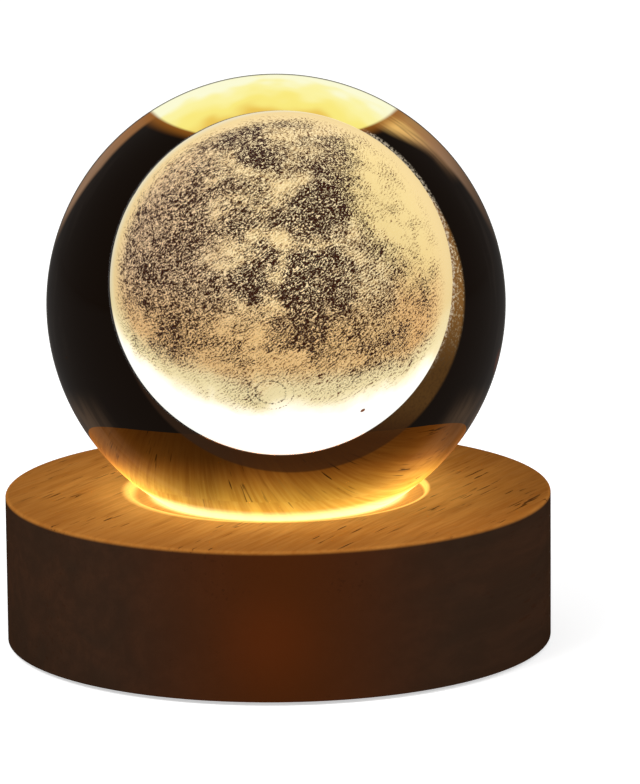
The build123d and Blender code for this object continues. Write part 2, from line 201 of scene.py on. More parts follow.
wood, tree, shader = finish("oiled_wood", 0.6, 0.0)
along = place(tree, turn=(0, 0, -GRAIN_HEADING))
x, y, z, reach = split(tree, place(tree))
streaks = stretch(tree, along, (55, 620, 620))
bands = stretch(tree, along, (14, 130, 130))
fibres = stretch(tree, along, (150, 2600, 2600))
vessels = stretch(tree, along, (170, 2300, 2300))
streak = mottle(tree, streaks, 1.0, 4.0, 0.6, 0.4)
band = mottle(tree, bands, 1.0, 2.0, 0.5, 0.6)
fibre = mottle(tree, fibres, 1.0, 2.0)
vessel = mottle(tree, vessels, 1.0, 1.0, 0.4)
patches = mottle(tree, along, 90.0, 2.0)
pore = maths(tree, "MULTIPLY", fade(tree, vessel, 0.665, 0.70), fade(tree, patches, 0.46, 0.62, 0.1, 1.0))
# Painted light and shade: the top face's colour as lit, darker away from the ball, and the side's as in
# shade.
lit = tint(tree, fade(tree, band, 0.30, 0.68), hue(196, 126, 50), hue(220, 148, 66))
lit = tint(tree, fade(tree, streak, 0.36, 0.62, 0.0, 0.6), lit, hue(172, 104, 38))
lit = tint(tree, fade(tree, fibre, 0.35, 0.7, 0.0, 0.3), lit, hue(232, 166, 84))
lit = tint(tree, fade(tree, reach, 22 * MM, 35 * MM, 0.0, 0.6), lit, hue(136, 80, 32))
shade = tint(tree, fade(tree, band, 0.30, 0.68), hue(50, 35, 25), hue(58, 38, 26))
shade = tint(tree, fade(tree, streak, 0.36, 0.62, 0.0, 0.4), shade, hue(45, 31, 22))
# A painted warm glow on the front of the shaded side, strongest in a reddish spot in its middle.
front = maths(tree, "ABSOLUTE", x)
toward = fade(tree, y, -12 * MM, -30 * MM)
warm = maths(tree, "MULTIPLY", fade(tree, front, 24 * MM, 0.0), toward)
shade = tint(tree, maths(tree, "MULTIPLY", warm, 0.85), shade, hue(74, 34, 9))
spot = vector(tree, "DISTANCE", place(tree), WARM_SPOT)
shade = tint(tree, fade(tree, spot, 9 * MM, 0.0, 0.0, 0.22), shade, hue(104, 44, 14))
# The top face and the seat take the painted lit colour; the side and the rest take the painted shaded one.
painted_lit_top = fade(tree, z, BASE_TOP - 0.62 * MM, BASE_TOP - 0.12 * MM)
above_roof = fade(tree, z, ROOF - 0.1 * MM, ROOF + 0.1 * MM)
inside = maths(tree, "MULTIPLY", fade(tree, reach, WELL_SIDE + 1 * MM, WELL_SIDE), above_roof)
face = maths(tree, "MAXIMUM", painted_lit_top, inside)
colour = tint(tree, face, shade, lit)
hollow = fade(tree, z, ROOF + 0.1 * MM, ROOF - 0.1 * MM)
hollow = maths(tree, "MULTIPLY", hollow, fade(tree, reach, HOLLOW_RADIUS + 0.2 * MM, HOLLOW_RADIUS))
colour = tint(tree, hollow, colour, tint(tree, streak, hue(188, 146, 98), hue(164, 120, 76)))
pore = maths(tree, "MULTIPLY", pore, fade(tree, face, 0.0, 1.0, 0.35, 0.85))
colour = tint(tree, pore, colour, hue(48, 24, 11))
feed(shader, "Base Color", colour)
# Painted light from the seat: the wood glows near the ball, more faintly on the step, and brightly at the
# ball's foot and in a thin line round the edge of the step.
glow = maths(tree, "MULTIPLY", fade(tree, reach, 27 * MM, 18 * MM), face)
step = fade(tree, reach, STEP_RADIUS + 0.1 * MM, STEP_RADIUS - 0.05 * MM)
step = maths(tree, "MULTIPLY", step, fade(tree, z, 17 * MM, 18.6 * MM))
foot = maths(tree, "MULTIPLY", fade(tree, reach, 17.3 * MM, 16.0 * MM), step)
wide = fade(tree, x, 2 * MM, -14 * MM, 0.55 * MM, 1.3 * MM)
ring = fade(tree, maths(tree, "ABSOLUTE", maths(tree, "SUBTRACT", reach, STEP_RADIUS)), wide, 0.1 * MM)
# A painted reflection: the top glows far brighter and more amber where it is seen in a reflection, most near
# the ball and at the front.
mirrored = maths(tree, "MULTIPLY", tree.nodes.new("ShaderNodeLightPath").outputs["Is Glossy Ray"], face)
boost = fade(tree, reach, 29 * MM, 17.5 * MM, *MIRRORED_GLOW)
warmth = maths(tree, "MULTIPLY_ADD", step, 0.14, maths(tree, "MULTIPLY", glow, 0.24))
warmth = maths(tree, "MULTIPLY_ADD", maths(tree, "MAXIMUM", ring, foot), 0.75, warmth)
ahead = fade(tree, y, 4 * MM, -14 * MM)
behind = fade(tree, x, -10 * MM, 10 * MM, 0.95, 0.60)
gain = maths(tree, "MULTIPLY_ADD", ahead, fade(tree, x, -12 * MM, -1 * MM, 0.25, 1.5), behind)
warmth = maths(tree, "MULTIPLY_ADD", mirrored, maths(tree, "MULTIPLY", boost, gain), warmth)
warm_filter = tint(tree, fade(tree, reach, 27 * MM, 19 * MM), (0.8, 0.62, 0.38), (0.8, 0.95, 0.62))
amber = vector(tree, "MULTIPLY", colour, warm_filter)
lamp_tint = tint(tree, ring, hue(255, 190, 92), hue(255, 214, 104))
lamp_tint = tint(tree, foot, lamp_tint, hue(255, 240, 160))
feed(shader, "Emission Color", tint(tree, mirrored, lamp_tint, amber))
feed(shader, "Emission Strength", warmth)
feed(shader, "Roughness", fade(tree, streak, 0.3, 0.7, 0.42, 0.58))
grain_height = maths(tree, "SUBTRACT", maths(tree, "MULTIPLY", fibre, 0.35), pore)
relief(tree, shader, grain_height, 0.06 * MM, 0.8)
dress("wood_base", wood)

# The lamp board. A round printed circuit board with a white solder mask, held up against the roof of the
# hollow by three pan head screws.
white_mask, tree, shader = finish("white_solder_mask", 0.35)
LAMP_BOARD_MIDDLE = 8.2 * MM
BOARD_GLOW = 30.0
_, _, z, reach = split(tree, place(tree))
speck = mottle(tree, place(tree), 1800.0, 2.0)
mask = tint(tree, fade(tree, speck, 0.3, 0.7), hue(236, 236, 230), hue(226, 227, 222))
track = fade(tree, reach, 13.2 * MM, 13.0 * MM)
track = maths(tree, "MULTIPLY", fade(tree, reach, 6.1 * MM, 6.3 * MM), track)
mask = tint(tree, maths(tree, "MULTIPLY", track, 0.5), mask, hue(214, 214, 206))
from_middle = maths(tree, "ABSOLUTE", maths(tree, "SUBTRACT", z, LAMP_BOARD_MIDDLE))
edge = fade(tree, from_middle, 0.70 * MM, 0.74 * MM)
mask = tint(tree, edge, hue(206, 196, 150), mask)
feed(shader, "Base Color", mask)
feed(shader, "Roughness", fade(tree, speck, 0.3, 0.7, 0.28, 0.42))
relief(tree, shader, maths(tree, "ADD", speck, track), 0.03 * MM, 0.5)
# A painted reflection: the board glows warm where it is seen in a reflection.
mirrored = tree.nodes.new("ShaderNodeLightPath").outputs["Is Glossy Ray"]
feed(shader, "Emission Strength", maths(tree, "MULTIPLY", mirrored, BOARD_GLOW))
feed(shader, "Emission Color", (*hue(255, 196, 96), 1))
dress("led_board", white_mask)

# The six lamps. Each is a moulded white body soldered at two ends, with a dish of yellow gel in its top
# that gives the warm light.
FRAME_GLOW = 0.12
GEL_GLOW = 1.3
moulded_white, tree, shader = finish("lamp_body", 0.45)
speck = mottle(tree, place(tree), 2600.0, 3.0)
feed(shader, "Base Color", tint(tree, speck, hue(240, 238, 230), hue(228, 224, 212)))
feed(shader, "Roughness", fade(tree, speck, 0.3, 0.7, 0.38, 0.55))
# The white body has a faint painted glow.
feed(shader, "Emission Color", (*hue(255, 206, 128), 1))
feed(shader, "Emission Strength", FRAME_GLOW)
dress("led_frames", moulded_white)

yellow_gel, tree, shader = finish("lit_gel", 0.25)
speck = mottle(tree, place(tree), 4200.0, 2.0)
feed(shader, "Base Color", tint(tree, speck, hue(255, 214, 96), hue(250, 190, 60)))
feed(shader, "Emission Color", tint(tree, speck, hue(255, 222, 140), hue(255, 206, 112)))
feed(shader, "Emission Strength", GEL_GLOW)
relief(tree, shader, speck, 0.01 * MM, 0.4)
dress("led_phosphors", yellow_gel)

# The two resistors, soldered to the underside of the lamp board. Each is a small block of white ceramic with
# a black painted face and tinned ends.
ceramic, tree, shader = finish("chip_resistor", 0.4)
RESISTOR_X = 4.5 * MM
x, _, z, _ = split(tree, place(tree))
speck = mottle(tree, place(tree), 3000.0, 2.0)
from_middle = maths(tree, "ABSOLUTE", maths(tree, "SUBTRACT", maths(tree, "ABSOLUTE", x), RESISTOR_X))
tinned = fade(tree, from_middle, 1.10 * MM, 1.14 * MM)
body = tint(tree, fade(tree, z, 6.95 * MM, 6.90 * MM), hue(232, 230, 222), hue(24, 24, 26))
body = tint(tree, maths(tree, "MULTIPLY", speck, 0.3), body, hue(60, 60, 62))
feed(shader, "Base Color", tint(tree, tinned, body, hue(196, 198, 200)))
feed(shader, "Metallic", tinned)
dress("chip_resistors", ceramic)

# The boards' screws. Zinc-plated steel with pan heads, punched for a cross-head driver and rolled with a
# sharp thread. Three hold the lamp board up, and two hold the board behind it.
zinc, tree, shader = finish("zinc_plate", 0.3)
speck = mottle(tree, place(tree), 900.0, 4.0, 0.6)
feed(shader, "Base Color", tint(tree, speck, hue(176, 180, 186), hue(206, 208, 206)))
feed(shader, "Metallic", 1.0)
feed(shader, "Roughness", fade(tree, speck, 0.3, 0.7, 0.22, 0.42))
relief(tree, shader, speck, 0.01 * MM, 0.5)


CREASE = math.radians(35)


def recipe(name, sizes):
    """A new tree of Geometry Nodes with a named input for each of its sizes."""
    tree = bpy.data.node_groups.new(name, "GeometryNodeTree")
    tree.interface.new_socket("Geometry", in_out="OUTPUT", socket_type="NodeSocketGeometry")
    for label, kind in sizes.items():
        tree.interface.new_socket(label, in_out="INPUT", socket_type="NodeSocket" + kind)
    return tree, tree.nodes.new("NodeGroupInput").outputs


def settle(tree, geometry, material):
    """The end of a tree: its copies become real geometry and get their finish."""
    real = put(tree, "GeometryNodeRealizeInstances", {"Geometry": geometry}).outputs[0]
    coated = put(tree, "GeometryNodeSetMaterial", {"Geometry": real, "Material": material}).outputs[0]
    put(tree, "NodeGroupOutput", {"Geometry": coated})


def cast(name, tree, sizes):
    """Runs a tree with its sizes set, and keeps the result as one plain mesh."""
    made = bpy.data.objects.new(name, bpy.data.meshes.new(name))
    bpy.context.scene.collection.objects.link(made)
    modifier = made.modifiers.new(name, "NODES")
    modifier.node_group = tree
    for item in tree.interface.items_tree:
        if item.in_out == "INPUT":
            modifier[item.identifier] = sizes[item.name]
    result = bpy.data.meshes.new_from_object(made.evaluated_get(bpy.context.evaluated_depsgraph_get()))
    made.modifiers.remove(modifier)
    result.shade_smooth()
    result.set_sharp_from_angle(angle=CREASE)
    made.data = result
    return made


def raise_by(tree, geometry, height):
    """Moves a shape up."""
    step_up = put(tree, "ShaderNodeCombineXYZ", {2: height}).outputs[0]
    return put(tree, "GeometryNodeTransform", {"Geometry": geometry, "Translation": step_up}).outputs[0]


def round_bar(tree, bottom, top, length):
    """A closed round bar or cone that stands on its bottom face."""
    sizes = {"Vertices": 40, "Radius Bottom": bottom, "Radius Top": top, "Depth": length}
    return put(tree, "GeometryNodeMeshCone", sizes).outputs["Mesh"]


def ring_of(tree, count, radius, first, middle):
    """Points evenly round a circle, and the angle of each."""
    share = maths(tree, "DIVIDE", put(tree, "GeometryNodeInputIndex").outputs[0], count)
    angle = maths(tree, "MULTIPLY_ADD", share, math.tau, first)
    sides = {0: maths(tree, "COSINE", angle), 1: maths(tree, "SINE", angle)}
    out = put(tree, "ShaderNodeCombineXYZ", sides).outputs[0]
    where = vector(tree, "SCALE", out, scale=radius)
    where = vector(tree, "ADD", where, middle)
    return put(tree, "GeometryNodePoints", {"Count": count, "Position": where}).outputs[0], angle


# The screws' tip and the radius at its end, the cross, how far the shank runs into the head, the thread's
# core and crest as shares of the shank's radius, and how far each screw is turned on from the last.
TIP = 1.2 * MM
TIP_END = 0.2 * MM
CROSS = (2.0 * MM, 0.5 * MM, 1.2 * MM)
OVERLAP = 0.02 * MM
CORE_SHARE = 0.8
CREST_SHARE = 0.19
TURN_SHARE = 1.37
screw_ring, given = recipe(
    "ring_of_screws",
    {
        "Count": "Int",
        "Ring radius": "Float",
        "First angle": "Float",
        "Middle": "Vector",
        "Face radius": "Float",
        "Seat radius": "Float",
        "Head height": "Float",
        "Shank radius": "Float",
        "Length": "Float",
        "Thread pitch": "Float",
        "Finish": "Material",
    },
)
head = round_bar(screw_ring, given["Face radius"], given["Seat radius"], given["Head height"])
punch = put(screw_ring, "GeometryNodeMeshBoolean", {"Mesh 1": head}, operation="DIFFERENCE")
for size in (CROSS, (CROSS[1], CROSS[0], CROSS[2])):
    arm = put(screw_ring, "GeometryNodeMeshCube", {"Size": size})
    screw_ring.links.new(arm.outputs["Mesh"], punch.inputs["Mesh 2"])
core = maths(screw_ring, "MULTIPLY", given["Shank radius"], CORE_SHARE)
tip_start = maths(screw_ring, "SUBTRACT", given["Length"], TIP)
threaded = maths(screw_ring, "SUBTRACT", tip_start, given["Head height"])
turns = maths(screw_ring, "DIVIDE", threaded, given["Thread pitch"])
coil = {"Resolution": 20, "Rotations": turns, "Start Radius": core, "End Radius": core, "Height": threaded}
crest = {"Resolution": 3, "Radius": maths(screw_ring, "MULTIPLY", given["Shank radius"], CREST_SHARE)}
thread = put(
    screw_ring,
    "GeometryNodeCurveToMesh",
    {
        "Curve": put(screw_ring, "GeometryNodeCurveSpiral", coil).outputs[0],
        "Profile Curve": put(screw_ring, "GeometryNodeCurvePrimitiveCircle", crest).outputs[0],
        "Fill Caps": True,
    },
).outputs[0]
overlap = maths(screw_ring, "SUBTRACT", given["Head height"], OVERLAP)
whole = put(screw_ring, "GeometryNodeJoinGeometry", {"Geometry": punch.outputs["Mesh"]})
for part in (
    raise_by(screw_ring, round_bar(screw_ring, core, core, threaded), overlap),
    raise_by(screw_ring, thread, given["Head height"]),
    raise_by(screw_ring, round_bar(screw_ring, core, TIP_END, TIP), tip_start),
):
    screw_ring.links.new(part, whole.inputs["Geometry"])
points, angle = ring_of(
    screw_ring, given["Count"], given["Ring radius"], given["First angle"], given["Middle"]
)
twist = maths(screw_ring, "MULTIPLY", angle, TURN_SHARE)
twist = put(screw_ring, "ShaderNodeCombineXYZ", {2: twist}).outputs[0]
driven = {"Points": points, "Instance": whole.outputs[0], "Rotation": twist}
settle(screw_ring, put(screw_ring, "GeometryNodeInstanceOnPoints", driven).outputs[0], given["Finish"])

for name, count, ring_radius, first, middle, stands_for in (
    ("lamp_board_screws", 3, 18.65, -90, (0, 0, 6.2), "led_board_screws"),
    ("port_board_screws", 2, 1.95, 90, (1.735, 25.25, 6.8), "back_board_screws"),
):
    screws = cast(
        name,
        screw_ring,
        {
            "Count": count,
            "Ring radius": ring_radius * MM,
            "First angle": math.radians(first),
            "Middle": Vector(middle) * MM,
            "Face radius": 1.4 * MM,
            "Seat radius": 1.7 * MM,
            "Head height": 1.2 * MM,
            "Shank radius": 0.95 * MM,
            "Length": 6.0 * MM,
            "Thread pitch": 0.6 * MM,
            "Finish": zinc,
        },
    )
    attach(screws, "base")
    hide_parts(stands_for)

# The back board. A small printed circuit board with a green solder mask, held by two screws. It carries the
# power socket and the push switch.
green_mask, tree, shader = finish("green_solder_mask", 0.32)
BACK_BOARD_MIDDLE = 8.5 * MM
_, _, z, _ = split(tree, place(tree))
speck = mottle(tree, place(tree), 1500.0, 2.0)
mask = tint(tree, fade(tree, speck, 0.3, 0.7), hue(16, 78, 44), hue(22, 92, 52))
copper = put(tree, "ShaderNodeTexWave", {"Vector": place(tree), "Scale": 95.0, "Distortion": 3.0})
mask = tint(tree, fade(tree, copper.outputs["Fac"], 0.78, 0.86, 0.0, 0.5), mask, hue(44, 122, 66))
from_middle = maths(tree, "ABSOLUTE", maths(tree, "SUBTRACT", z, BACK_BOARD_MIDDLE))
edge = fade(tree, from_middle, 0.44 * MM, 0.47 * MM)
feed(shader, "Base Color", tint(tree, edge, hue(172, 160, 96), mask))
relief(tree, shader, copper.outputs["Fac"], 0.02 * MM, 0.4)
dress("back_board", green_mask)

# The power socket. A shell rolled from thin steel and bright plated, a black moulded tongue in its middle,
# and gilt contacts on both faces of the tongue.
steel, tree, shader = finish("plated_steel", 0.24)
scratches = stretch(tree, place(tree), (2600, 180, 2600))
scratch = mottle(tree, scratches, 1.0, 3.0)
feed(shader, "Base Color", tint(tree, scratch, hue(186, 188, 190), hue(214, 214, 212)))
feed(shader, "Metallic", 1.0)
feed(shader, "Roughness", fade(tree, scratch, 0.3, 0.7, 0.18, 0.36))
dress("socket_shell", steel)

black_plastic, tree, shader = finish("black_moulding", 0.5)
speck = mottle(tree, place(tree), 2600.0, 3.0, 0.6)
cloud = mottle(tree, place(tree), 160.0, 2.0)
mould = tint(tree, speck, hue(24, 24, 25), hue(36, 36, 37))
mould = tint(tree, fade(tree, cloud, 0.4, 0.7, 0.0, 0.4), mould, hue(46, 45, 44))
feed(shader, "Base Color", mould)
feed(shader, "Roughness", fade(tree, speck, 0.3, 0.7, 0.42, 0.62))
relief(tree, shader, speck, 0.03 * MM, 0.7)
for name in ("socket_tongue", "switch_housing", "base_cover"):
    dress(name, black_plastic)

gilt, tree, shader = finish("gilt_contact", 0.22)
speck = mottle(tree, place(tree), 3000.0, 3.0)
feed(shader, "Base Color", tint(tree, speck, hue(226, 178, 84), hue(244, 206, 122)))
feed(shader, "Metallic", 1.0)
dress("socket_contacts", gilt)

# The push switch. Black body with three tinned pins, a white plunger, a spring of hard drawn wire, and a
# glossy black cap that is pushed onto the plunger's stem.
tinned, tree, shader = finish("tinned_pin", 0.34)
speck = mottle(tree, place(tree), 2400.0, 3.0)
feed(shader, "Base Color", tint(tree, speck, hue(190, 190, 188), hue(212, 212, 208)))
feed(shader, "Metallic", 1.0)
dress("switch_pins", tinned)

white_plastic, tree, shader = finish("white_moulding", 0.4)
speck = mottle(tree, place(tree), 2200.0, 2.0)
feed(shader, "Base Color", tint(tree, speck, hue(232, 231, 226), hue(222, 220, 213)))
dress("switch_plunger", white_plastic)

spring_wire, tree, shader = finish("spring_wire", 0.28)
speck = mottle(tree, place(tree), 5000.0, 2.0)
feed(shader, "Base Color", tint(tree, speck, hue(150, 152, 154), hue(188, 188, 188)))
feed(shader, "Metallic", 1.0)
coil, given = recipe(
    "coil_spring",
    {
        "Foot": "Vector",
        "Coil radius": "Float",
        "Wire radius": "Float",
        "Rise": "Float",
        "Turns": "Float",
        "Finish": "Material",
    },
)
wound = {"Resolution": 28, "Rotations": given["Turns"], "Height": given["Rise"]}
wound.update({"Start Radius": given["Coil radius"], "End Radius": given["Coil radius"]})
wound = put(coil, "GeometryNodeCurveSpiral", wound)
section = put(coil, "GeometryNodeCurvePrimitiveCircle", {"Resolution": 10, "Radius": given["Wire radius"]})
drawn = {"Curve": wound.outputs[0], "Profile Curve": section.outputs[0], "Fill Caps": True}
drawn = put(coil, "GeometryNodeCurveToMesh", drawn).outputs[0]
laid = {"Geometry": drawn, "Translation": given["Foot"], "Rotation": (-math.pi / 2, 0, 0)}
settle(coil, put(coil, "GeometryNodeTransform", laid).outputs[0], given["Finish"])
spring = cast(
    "plunger_spring",
    coil,
    {
        "Foot": Vector((6.8, 23.141, 6.0)) * MM,
        "Coil radius": 0.9 * MM,
        "Wire radius": 0.12 * MM,
        "Rise": 3.868 * MM,
        "Turns": 5.0,
        "Finish": spring_wire,
    },
)
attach(spring, "base")
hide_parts("switch_spring")
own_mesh(spring)

glossy_cap, tree, shader = finish("button_cap", 0.2)
speck = mottle(tree, place(tree), 1500.0, 3.0)
feed(shader, "Base Color", tint(tree, speck, hue(20, 20, 21), hue(32, 31, 31)))
feed(shader, "Roughness", fade(tree, speck, 0.3, 0.7, 0.16, 0.34))
dress("button_cap", glossy_cap)

# The two supply wires, of stranded copper in soft red and black insulation. They join the two boards, and
# their ends are held by solder.
for name, dull, bright in (
    ("red_wire", hue(150, 20, 18), hue(182, 30, 24)),
    ("black_wire", hue(20, 20, 20), hue(34, 34, 34)),
):
    cover, tree, shader = finish(name + "_cover", 0.45)
    speck = mottle(tree, place(tree), 1300.0, 3.0)
    feed(shader, "Base Color", tint(tree, speck, dull, bright))
    relief(tree, shader, speck, 0.02 * MM, 0.4)
    dress(name, cover)

solder, tree, shader = finish("solder", 0.25)
speck = mottle(tree, place(tree), 1800.0, 3.0)
feed(shader, "Base Color", tint(tree, speck, hue(178, 180, 182), hue(214, 214, 214)))
feed(shader, "Metallic", 1.0)
feed(shader, "Roughness", fade(tree, speck, 0.3, 0.7, 0.15, 0.4))
dress("solder_joints", solder)

# The solder at the two ends of each lamp. Each is a small bright mound, melted onto its pad in an oven, and
# holds the lamp to the board.
pads, given = recipe(
    "solder_round_lamps",
    {
        "Lamps": "Int",
        "Ring radius": "Float",
        "Lamp length": "Float",
        "Height": "Float",
        "Mound": "Vector",
        "Finish": "Material",
    },
)
centre = put(pads, "ShaderNodeCombineXYZ", {2: given["Height"]}).outputs[0]
half = maths(pads, "MULTIPLY", given["Lamp length"], 0.5)
mound = put(pads, "GeometryNodeMeshUVSphere", {"Segments": 16, "Rings": 10, "Radius": 1.0}).outputs["Mesh"]
both_ends = put(pads, "GeometryNodeJoinGeometry")
for side in (-1.0, 1.0):
    ring_radius = maths(pads, "MULTIPLY_ADD", half, side, given["Ring radius"])
    points, angle = ring_of(pads, given["Lamps"], ring_radius, 0.0, centre)
    turned = put(pads, "ShaderNodeCombineXYZ", {2: angle}).outputs[0]
    laid = {"Points": points, "Instance": mound, "Rotation": turned, "Scale": given["Mound"]}
    laid = put(pads, "GeometryNodeInstanceOnPoints", laid).outputs[0]
    pads.links.new(laid, both_ends.inputs["Geometry"])
settle(pads, both_ends.outputs[0], given["Finish"])
mounds = cast(
    "lamp_solder",
    pads,
    {
        "Lamps": 6,
        "Ring radius": 9.5 * MM,
        "Lamp length": 3.5 * MM,
        "Height": 9.0 * MM,
        "Mound": Vector((0.4, 1.15, 0.35)) * MM,
        "Finish": solder,
    },
)
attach(mounds, "base")

# The cover's screws and feet. Three countersunk screws of blackened steel hold the cover up, and three discs
# of dark rubber are stuck in its recesses.
black_steel, tree, shader = finish("blackened_steel", 0.38)
speck = mottle(tree, place(tree), 2000.0, 3.0)
feed(shader, "Base Color", tint(tree, speck, hue(38, 38, 40), hue(66, 66, 68)))
feed(shader, "Metallic", 1.0)
screws = cast(
    "cover_fixings",
    screw_ring,
    {
        "Count": 3,
        "Ring radius": 28.0 * MM,
        "First angle": math.radians(-90),
        "Middle": Vector((0, 0, 0.5)) * MM,
        "Face radius": 2.1 * MM,
        "Seat radius": 1.15 * MM,
        "Head height": 0.95 * MM,
        "Shank radius": 1.15 * MM,
        "Length": 8.0 * MM,
        "Thread pitch": 0.8 * MM,
        "Finish": black_steel,
    },
)
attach(screws, "base")
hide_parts("cover_screws")

rubber, tree, shader = finish("foot_rubber", 0.8, 0.3)
speck = mottle(tree, place(tree), 1400.0, 4.0, 0.7)
dust = mottle(tree, place(tree), 300.0, 3.0)
pad = tint(tree, speck, hue(40, 40, 41), hue(54, 54, 54))
pad = tint(tree, fade(tree, dust, 0.5, 0.75, 0.0, 0.35), pad, hue(104, 102, 98))
feed(shader, "Base Color", pad)
relief(tree, shader, speck, 0.05 * MM, 0.7)
dress("foot_pads", rubber)

# The moon. A ball of fine marks that a laser burnt in the glass, which catch the light from below. That light
# is painted: the moon glows by itself, brightest and whitest low down and brighter at its edge. Its dark
# seas are where the marks are sparse. Only the near half of the marks is lit fully, so a dull second edge
# shows behind it, low on the right; that edge is painted on the ball.
BALL_CENTRE = Vector((0, 0, 44.281 * MM))
BALL_RADIUS = 29.7 * MM
MOON_CENTRE = Vector((0.6 * MM, 0, 46.181 * MM))
MOON_RADIUS = 14.8 * MM
SEA_STRENGTH = 1.1
SEA_RAGGED = 0.007
LEAN = (0, 0.65, 0)
STROKES = (2500, 3500, 4400)
ROW_WAVES = 19000.0
RAY_WAVES = 300.0
INK_EDGE = 0.022
MOON_GLOW = (3.2, 5.9)
FOOT_GAIN = 1.35
SEAS = (
    # degrees east of the front, degrees north, width in degrees, how dark
    (-22, 69, 8, 0.56),
    (-78, 74, 9, 0.30),
    (54, 67, 13, 0.14),
    (24, 45, 10, 0.50),
    (12, 39, 7, 0.22),
    (0, 42, 7, 0.24),
    (36, 54, 10, 0.22),
    (36, 42, 7, 0.20),
    (-20, 37, 6, 0.26),
    (28, 36, 8, 0.26),
    (13, 19, 9, 0.50),
    (9, 4, 8, 0.66),
    (22, 3, 8, 0.10),
    (11, -8, 8, 0.46),
    (-1, -9, 7, 0.22),
    (23, 12, 9, 0.26),
    (-14, 12, 7, 0.44),
    (-66, 24, 26, 0.18),
    (-50, 6, 20, 0.16),
    (-27, 8, 8, 0.12),
    (-60, 50, 18, 0.06),
    (-43, -9, 12, 0.16),
    (-9, 23, 6, 0.18),
    (45, -18, 11, 0.20),
    (27, -5, 11, 0.22),
    (51, -4, 8, 0.04),
    (33, -30, 7, 0.20),
    (40, -26, 7, 0.20),
    (44, 26, 7, 0.10),
    (-21, -36, 8, 0.30),
    (80, 33, 26, -0.26),
    (3, 63, 11, -0.10),
    (-35, 15, 9, -0.04),
    (0, 32, 6, -0.16),
    (-8, -42, 18, -0.08),
    (0, -14, 10, -0.12),
    (145, 30, 20, 0.35),
    (178, 5, 16, 0.25),
    (-150, -10, 18, 0.30),
    (-120, 38, 14, 0.35),
    (120, -20, 14, 0.25),
)


def heading(east, north):
    """The direction of a place on the moon from its middle."""
    east, north = math.radians(east), math.radians(north)
    return (math.cos(north) * math.sin(east), -math.cos(north) * math.cos(east), math.sin(north))


def towards(tree, where, direction):
    """The cosine of the angle between a pattern's direction and a fixed one."""
    return vector(tree, "DOT_PRODUCT", where, direction)


def edge_on(tree):
    """The cosine and the sine of the angle at which a surface is met: 1 and 0 where it is met square on."""
    face_on = maths(tree, "SUBTRACT", 1.0, tree.nodes.new("ShaderNodeLayerWeight").outputs["Facing"])
    squared = maths(tree, "MULTIPLY", face_on, face_on)
    return face_on, maths(tree, "SQRT", maths(tree, "SUBTRACT", 1.0, squared))


def both(first, second):
    """Where two masks overlap."""
    return maths(tree, "MULTIPLY", first, second)


round_form, given = recipe(
    "ball",
    {"Middle": "Vector", "Radius": "Float", "Squares": "Int", "Finish": "Material"},
)
squares = given["Squares"]
block = {"Size": (2.0, 2.0, 2.0), "Vertices X": squares, "Vertices Y": squares, "Vertices Z": squares}
block = put(round_form, "GeometryNodeMeshCube", block).outputs["Mesh"]
spread = put(round_form, "GeometryNodeInputPosition").outputs[0]
spread = vector(round_form, "MULTIPLY", spread, (math.pi / 4,) * 3)
spread = vector(round_form, "TANGENT", spread)
spread = vector(round_form, "NORMALIZE", spread)
spread = vector(round_form, "SCALE", spread, scale=given["Radius"])
spread = vector(round_form, "ADD", spread, given["Middle"])
pushed_out = put(round_form, "GeometryNodeSetPosition", {"Geometry": block, "Position": spread}).outputs[0]
settle(round_form, pushed_out, given["Finish"])

marks, tree, shader = finish("laser_marks", 1.0, 0.0)
sizes = {"Middle": MOON_CENTRE, "Radius": MOON_RADIUS, "Squares": 72, "Finish": marks}
moon = cast("marked_moon", round_form, sizes)
around = place(tree, MOON_CENTRE)
cloud = put(tree, "ShaderNodeTexNoise", {"Vector": around, "Scale": 210.0, "Detail": 4.0, "Roughness": 0.6})
shift = vector(tree, "SUBTRACT", cloud.outputs["Color"], (0.5, 0.5, 0.5))
shifted = vector(tree, "MULTIPLY_ADD", shift, (SEA_RAGGED,) * 3, around)
outward = vector(tree, "NORMALIZE", shifted)
plain_outward = vector(tree, "NORMALIZE", around)
drift = stretch(tree, around, (0.55, 1.0, 1.25), LEAN)
dark = fade(tree, mottle(tree, drift, 330.0, 5.0, 0.68), 0.34, 0.66, 0.25, 0.64)
for east, north, width, depth in SEAS:
    near = towards(tree, outward, heading(east, north))
    width = math.radians(width)
    sea = fade(tree, near, math.cos(width * 1.3), math.cos(width * 0.6), 0.0, SEA_STRENGTH * depth)
    dark = maths(tree, "ADD", dark, sea)
uneven = fade(tree, mottle(tree, around, 520.0, 2.0), 0.3, 0.7, -0.09, 0.09)
dark = maths(tree, "ADD", dark, uneven, clamp=True)
x, _, z, _ = split(tree, plain_outward)
face_on, limb = edge_on(tree)
# How far the painted light from the seat below reaches: whitest low down, higher up on the left and near the
# edge, and less in one shaded spot low on the left.
low = maths(tree, "MULTIPLY_ADD", mottle(tree, around, 260.0, 3.0), 0.3, maths(tree, "SUBTRACT", z, 0.15))
low = maths(tree, "MULTIPLY_ADD", x, 0.06, low)
shaded = fade(tree, towards(tree, outward, heading(-18, -37)), math.cos(0.26), math.cos(0.08))
low = maths(tree, "MULTIPLY_ADD", shaded, 0.10, low)
low = maths(tree, "MULTIPLY_ADD", maths(tree, "POWER", limb, 6.0), -0.42, low)
painted_underglow = fade(tree, low, -0.54, -0.88)
